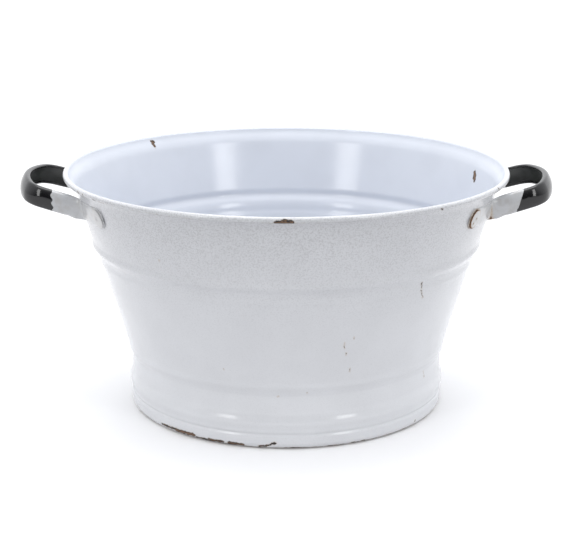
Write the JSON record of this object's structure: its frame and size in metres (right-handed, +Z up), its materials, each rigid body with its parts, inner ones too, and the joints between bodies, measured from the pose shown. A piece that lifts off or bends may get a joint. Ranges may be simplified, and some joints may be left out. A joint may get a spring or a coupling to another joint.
{
  "type": "enamel wash basin",
  "caption": "Round flared enamelled steel wash tub with an upright foot, pressed rings, a rolled rim and riveted strap handles.",
  "frame": {"origin": "centre of the tub's foot, on the floor it stands on", "axes": "+Z up out of the mouth, +X through the right handle as pictured, -Y toward the viewer"},
  "size_m": [0.527, 0.44, 0.238],
  "materials": {
    "enamel": "glossy white enamel with a fine grey speckle, chipped at the edges",
    "wire": "plain drawn steel",
    "handle_enamel": "glossy black enamel on the grip, white on the feet",
    "rivet_enamel": "glossy white enamel with rust round the head"
  },
  "bodies": {
    "root": {"tub_shell": "enamel", "rim_wire": "wire", "left_handle": "handle_enamel", "right_handle": "handle_enamel", "left_front_rivet": "rivet_enamel", "left_rear_rivet": "rivet_enamel", "right_front_rivet": "rivet_enamel", "right_rear_rivet": "rivet_enamel"}
  },
  "joints": []
}
